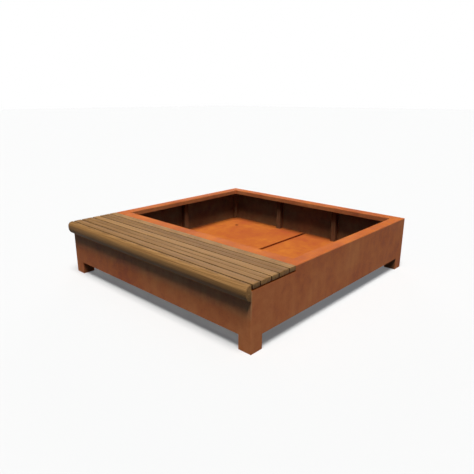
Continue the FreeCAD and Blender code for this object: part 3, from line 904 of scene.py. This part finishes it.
def worn_lit_edges(grid, section):
    """How worn each point is, with a painted highlight on the same edges: its share on the top edges, 0
    from its reach away.

    It is that share times how near the point is to a long side and to the top, each
    as 1 less the distance over the reach.
    """
    side = np.minimum(section[:, 0] - section[:, 0].min(), section[:, 0].max() - section[:, 0])
    down = section[:, 1].max() - section[:, 1]
    near = np.clip(1 - side / WORN_LIT_REACH, 0, 1) * np.clip(1 - down / WORN_LIT_REACH, 0, 1)
    return np.broadcast_to(near, grid.shape[:2]).ravel() * WORN_LIT_SHARE


def dirt_and_gap_shade(grid, section):
    """How much darker each point is, for grime and painted shade between the boards: 0 on top, then growing
    over the depth.

    The rows that close the ends are not darkened.
    """
    down = section[:, 1].max() - section[:, 1]
    dark = DIRT_AND_SHADE_DARKNESS * np.clip((down - DIRT_AND_SHADE_START) / DIRT_AND_SHADE_DEPTH, 0, 1)
    value = np.tile(dark, (len(grid), 1))
    value[[0, -1]] = 0
    return value.ravel()


def end_rows(grid):
    """1 on the first and the last row, which close the board's ends, and 0 between."""
    value = np.zeros(grid.shape[:2])
    value[[0, -1]] = 1
    return value.ravel()


print(f"dirt from {1000 * DIRT_AND_SHADE_START} to {1000 * (DIRT_AND_SHADE_START + DIRT_AND_SHADE_DEPTH)} mm below the top")

# %% Make the boards
SLAT_NUMBERS = range(1, 6)
GROOVED_SLATS = (2, 4)
BOARD_TONES = {
    "slat_1": -0.06, "slat_2": -0.04, "slat_3": 0.02, "slat_4": -0.07, "slat_5": 0.0, "nose_slat": -0.02,
}
# Each board is cut from its own place in the log: up to 3 m along, and a step further out
LOG_REACH = 3
LOG_SPREAD = (1, 0.02, 0)
LOG_STEP = 0.1
LOG_HEIGHT = 0.05
LOG_SEED = 100

for number in SLAT_NUMBERS:
    node_name = f"slat_{number}"
    low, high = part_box(node_name)
    section = board_outline(low, high, grooved=number in GROOVED_SLATS)
    grid = sweep_board(section, low.x, high.x, seed=number)
    count = grid.shape[0] * grid.shape[1]
    rng = np.random.default_rng(LOG_SEED + number)
    log_place = rng.uniform(-LOG_REACH, LOG_REACH, 3) * LOG_SPREAD + (0, LOG_STEP * number, LOG_HEIGHT)
    # The tone holds grime and painted shade in the gaps; the edges hold wear and a painted highlight; the
    # ends get painted light
    piece = mesh_from_grid(f"board_{number}", [grid], timber, {
        "board": np.tile(log_place, (count, 1)),
        "tone": BOARD_TONES[node_name] - dirt_and_gap_shade(grid, section),
        "arris": worn_lit_edges(grid, section),
        "open_air": end_rows(grid),
    })
    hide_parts(node_name)
    print(piece.name, "points:", count, "width mm:", round((high.y - low.y) * 1000, 1))

# %% [markdown]
# ## The front rail
#
# The rail is one thick board whose front is turned over: a large round above, a short
# upright face, then a long curve that runs back under it to the wall. It is where the
# backs of the knees rest, so it has no edge at all in front. Its outline could be
# rounded as the boards' are, but two of its curves are far larger than an eased edge.
# So it is drawn as two arcs, with straight sides between them and behind.

# %% Make the front rail
NOSE_TOP_RADIUS = 0.035
NOSE_CURVE_HEIGHT = 0.054
NOSE_BACK_EASE = 0.001
NOSE_LOG_PLACE = (1.7, 0.9, 0.04)
NOSE_SEED = 9
ARC_POINTS = 16


def nose_outline(low, high):
    """The rail's section in (y, z), anticlockwise seen from +X.

    The lower arc starts upright at the front and meets the back at the bottom, so its
    radius is (depth squared + height squared) / (2 depth).
    """
    depth = high.y - low.y
    radius = (depth ** 2 + NOSE_CURVE_HEIGHT ** 2) / (2 * depth)
    top_angles = np.linspace(math.pi / 2, math.pi, ARC_POINTS)
    top = np.stack([low.y + NOSE_TOP_RADIUS + NOSE_TOP_RADIUS * np.cos(top_angles),
                    high.z - NOSE_TOP_RADIUS + NOSE_TOP_RADIUS * np.sin(top_angles)], 1)
    sweep = math.asin(NOSE_CURVE_HEIGHT / radius)
    low_angles = math.pi + np.linspace(0, sweep, ARC_POINTS)
    lower = np.stack([low.y + radius + radius * np.cos(low_angles),
                      low.z + NOSE_CURVE_HEIGHT + radius * np.sin(low_angles)], 1)
    back = np.array([(high.y, high.z - NOSE_BACK_EASE), (high.y - NOSE_BACK_EASE, high.z)])
    return np.concatenate([lower, back, top])


low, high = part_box("nose_slat")
section = nose_outline(low, high)
grid = sweep_board(section, low.x, high.x, seed=NOSE_SEED)
count = grid.shape[0] * grid.shape[1]
# The whole rail gets painted light on its upright faces, and no worn edges
nose = mesh_from_grid("front_rail", [grid], timber, {
    "board": np.tile(NOSE_LOG_PLACE, (count, 1)),
    "tone": np.full(count, BOARD_TONES["nose_slat"]),
    "arris": np.zeros(count),
    "open_air": np.ones(count),
})
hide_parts("nose_slat")
print("front rail points:", count)

# %% [markdown]
# ## Weld beads
#
# The sheets are joined with a welding torch, which leaves a bead where two faces
# meet. A bead is a row of overlapping scales, because the pool of metal sets a little
# at a time. It could be a bump in the steel's finish, but then it would have no
# thickness against the light. Here each bead is a small rounded wedge carried along
# its line, and the wedge swells a little for each scale and tapers at both ends.
# The seams on the outside and on the rim are ground flush, so they have no bead.

# %% The section of a bead
BEAD_ROOT = 0.0004


def wedge(leg, bulge=1.35, steps=5):
    """Section of a fillet between two faces, which lie on its u and v axes.

    Its face runs from (leg, 0) to (0, leg) as leg * (cos t ** bulge, sin t ** bulge).
    A bulge of 2 would be a flat face and 1 a quarter circle. The root is set a little
    into the corner.
    """
    t = np.linspace(0, math.pi / 2, steps)
    face = leg * np.stack([np.cos(t) ** bulge, np.sin(t) ** bulge], 1)
    face[0, 1] = face[-1, 0] = -BEAD_ROOT
    return np.concatenate([[(-BEAD_ROOT, -BEAD_ROOT)], face])


print("one wedge has", len(wedge(0.003)), "points")

# %% Bead helpers
SCALE_PITCH = 0.009
SCALE_SWELL = 0.12
WANDER_SWELL = 0.07
QUICK_WAVE = 41
SLOW_WAVE = 17
TAPER_LENGTH = 0.004
TAPER_END = 0.1
BEAD_STEP = 0.002
FEWEST_STATIONS = 8


def bead(start, finish, side_u, side_v, leg, seed):
    """Carry a wedge from start to finish, with u and v along the two given sides.

    The size at a distance s is 1 + the swell of a scale * (the part of s / pitch after
    the point - 0.5) + a wander, the product of two sines. It is multiplied by a taper
    that grows as a square root over the first and the last TAPER_LENGTH.
    """
    start, finish, side_u, side_v = (np.array(v, float) for v in (start, finish, side_u, side_v))
    along = finish - start
    length = np.linalg.norm(along)
    along /= length
    if np.cross(side_u, side_v) @ along < 0:
        side_u, side_v = side_v, side_u
    rng = np.random.default_rng(seed)
    s = np.linspace(0, length, max(FEWEST_STATIONS, int(length / BEAD_STEP)))
    scales = SCALE_SWELL * ((s / SCALE_PITCH + rng.uniform()) % 1 - 0.5)
    quick = np.sin(s * QUICK_WAVE + rng.uniform(0, 6))
    slow = np.sin(s * SLOW_WAVE + rng.uniform(0, 6))
    taper = np.sqrt(np.clip(np.minimum(s, length - s) / TAPER_LENGTH, TAPER_END, 1))
    swell = (1 + scales + WANDER_SWELL * quick * slow) * taper
    section = wedge(leg)
    drawn = np.where(section[None] > 0, section[None] * swell[:, None, None], section[None])
    return (start + s[:, None, None] * along
            + drawn[..., :1] * side_u + drawn[..., 1:] * side_v)


def stitches(start, finish, side_u, side_v, leg, seed, run=0.05, gap=0.10):
    """Short beads along one line, evenly spaced, with half a gap left at both ends."""
    start, finish = np.array(start, float), np.array(finish, float)
    whole = finish - start
    length = np.linalg.norm(whole)
    count = max(1, int(length / (run + gap)))
    half = run / 2 / length
    beads = []
    for i in range(count):
        middle = (i + 0.5) / count
        ends = start + (middle - half) * whole, start + (middle + half) * whole
        beads.append(bead(*ends, side_u, side_v, leg, seed + i))
    return beads


print("scales on a metre of bead:", round(1 / SCALE_PITCH))

# %% Find the seams of the basin
NEAR = 0.01
SHORTEST_BEAD = 0.004
WAYS = np.eye(3)
# The four inner walls: the axis that each crosses, where, and the way into the basin
BASIN_WALLS = (
    (1, basin_high.y, -WAYS[1]),
    (1, basin_low.y, WAYS[1]),
    (0, basin_low.x, WAYS[0]),
    (0, basin_high.x, -WAYS[0]),
)
ground = basin_high.z
slot_span = (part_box("floor_plate_left")[1].x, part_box("floor_plate_right")[0].x)
uprights = [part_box(name) for name in frame["nodes"] if "_rib" in name or name.startswith("corner_post")]


def spot(axis, value, other, z):
    """A place with a value on one axis (0 is X, 1 is Y), another on the other, and z."""
    place = np.array((other, other, z), float)
    place[axis] = value
    return place


def touches(low, high, axis, wall):
    """Whether a box reaches a wall that crosses an axis."""
    return low[axis] < wall + NEAR and high[axis] > wall - NEAR


def gaps_between(low, high, blocks):
    """What is left of the span from low to high when the blocks are taken out."""
    spans = []
    for block_low, block_high in sorted(blocks):
        spans.append((low, block_low))
        low = block_high
    spans.append((low, high))
    return [span for span in spans if span[1] - span[0] > SHORTEST_BEAD]


print("posts and ribs in the basin:", len(uprights))

# %% Weld the basin
FLOOR_LEG = 0.004
RIB_LEG = 0.003
SEEDS_PER_EDGE = 7


def wall_beads(seed):
    """Beads along the feet of the walls, broken at the posts, the ribs and the slot."""
    beads = []
    for axis, wall, inward in BASIN_WALLS:
        run = 1 - axis
        blocks = [(low[run], high[run]) for low, high in uprights if touches(low, high, axis, wall)]
        if run == 0:
            blocks.append(slot_span)
        for first, last in gaps_between(basin_low[run], basin_high[run], blocks):
            ends = spot(axis, wall, first, ground), spot(axis, wall, last, ground)
            beads.append(bead(*ends, inward, WAYS[2], FLOOR_LEG, seed))
            seed += 1
    return beads, seed


def upright_beads(low, high, seed):
    """Beads round the foot of a post or rib, and stitches up its edges at the walls."""
    beads = []
    for axis in (0, 1):
        other = 1 - axis
        for edge, away in ((low[axis], -WAYS[axis]), (high[axis], WAYS[axis])):
            if basin_low[axis] + NEAR < edge < basin_high[axis] - NEAR:
                ends = spot(axis, edge, low[other], ground), spot(axis, edge, high[other], ground)
                beads.append(bead(*ends, away, WAYS[2], RIB_LEG, seed))
                for wall_axis, wall, inward in BASIN_WALLS:
                    if wall_axis == other and touches(low, high, other, wall):
                        ends = spot(axis, edge, wall, ground), spot(axis, edge, wall, high.z)
                        beads += stitches(*ends, away, inward, RIB_LEG, seed)
            seed += SEEDS_PER_EDGE
    return beads, seed


beads, seed = wall_beads(seed=1)
for low, high in uprights:
    more, seed = upright_beads(low, high, seed)
    beads += more
basin_welds = mesh_from_grid("basin_welds", beads, weld_steel, smooth_degrees=60)
print("basin beads:", len(beads), "faces:", len(basin_welds.data.polygons))

# %% Weld the sections under the floor
SEEDS_PER_SEAM = 20
plate_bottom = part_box("floor_plate_left")[0].z
under_beads = []
for name in ("floor_channel_left", "floor_gutter", "floor_channel_right"):
    low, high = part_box(name)
    for edge, away in ((low.x, -WAYS[0]), (high.x, WAYS[0])):
        ends = spot(0, edge, low.y, plate_bottom), spot(0, edge, high.y, plate_bottom)
        under_beads += stitches(*ends, away, -WAYS[2], RIB_LEG, seed)
        seed += SEEDS_PER_SEAM
under_welds = mesh_from_grid("under_floor_welds", under_beads, weld_steel,
                             smooth_degrees=60)
print("beads under the floor:", len(under_beads), "faces:", len(under_welds.data.polygons))

# %% [markdown]
# ## Screws
#
# Every slat is held from below by one screw through each bearer, so that its top
# stays clean. All that shows is a pan head with a six sided socket. A cylinder with a
# hexagon cut out of it by a modifier would do, but its faces come out untidy. Here
# the head is a stack of rings: round ones up the outside and over the top, then six
# sided ones down into the socket.

# %% Make the slat screws
HEAD_RADIUS = 0.005
HEAD_HEIGHT = 0.003
HEAD_SIDE = HEAD_HEIGHT * 0.45
HEAD_SUNK = 0.0002
SOCKET_RADIUS = 0.0019
SOCKET_DEPTH = 0.0018
SOCKET_EDGE = SOCKET_RADIUS * 1.4
RING_POINTS = 48
LEDGE_CLEARANCE = 0.007


def screw_head(x, y, z):
    """Rings of a pan head that hangs down from (x, y, z) on a bearer's lower face.

    A round ring has one radius, and the dome's rings follow a quarter ellipse. The
    radius of a six sided ring at an angle t is its flat's distance /
    cos(t modulo 60 degrees - 30 degrees).
    """
    t = -2 * math.pi * np.arange(RING_POINTS) / RING_POINTS
    six_sided = 1 / np.cos(np.mod(t, math.pi / 3) - math.pi / 6)
    turn = np.linspace(0, math.pi / 2, 5)[1:-1]
    dome = SOCKET_EDGE + (HEAD_RADIUS - SOCKET_EDGE) * np.cos(turn)
    dome_drop = HEAD_SIDE + (HEAD_HEIGHT - HEAD_SIDE) * np.sin(turn)
    round_radius = np.concatenate([[HEAD_RADIUS, HEAD_RADIUS], dome, [SOCKET_EDGE, 0, 0]])
    flat_radius = np.where(round_radius == 0, SOCKET_RADIUS, 0)
    drop = np.concatenate([[-HEAD_SUNK, HEAD_SIDE], dome_drop,
                           [HEAD_HEIGHT, HEAD_HEIGHT, HEAD_HEIGHT - SOCKET_DEPTH]])
    radius = round_radius[:, None] + flat_radius[:, None] * six_sided
    grid = np.empty((len(drop), RING_POINTS, 3))
    grid[..., 0] = x + radius * np.cos(t)
    grid[..., 1] = y + radius * np.sin(t)
    grid[..., 2] = z - drop[:, None]
    return grid


ledge_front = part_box("bench_ledge")[0].y
heads = []
for bearer_number in range(1, 6):
    bearer_low, bearer_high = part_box(f"bearer_{bearer_number}")
    for slat_number in SLAT_NUMBERS:
        slat_low, slat_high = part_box(f"slat_{slat_number}")
        screw_y = min((slat_low.y + slat_high.y) / 2, ledge_front - LEDGE_CLEARANCE)
        heads.append(screw_head((bearer_low.x + bearer_high.x) / 2, screw_y, bearer_low.z))
screws = mesh_from_grid("slat_screws", heads, zinc, smooth_degrees=40)
print("screws:", len(heads), "faces:", len(screws.data.polygons))

# %% [markdown]
# ## The end
#
# The dressed object has to be as large as the solids that it was built round.

# %% Finish
print("the object is dressed")
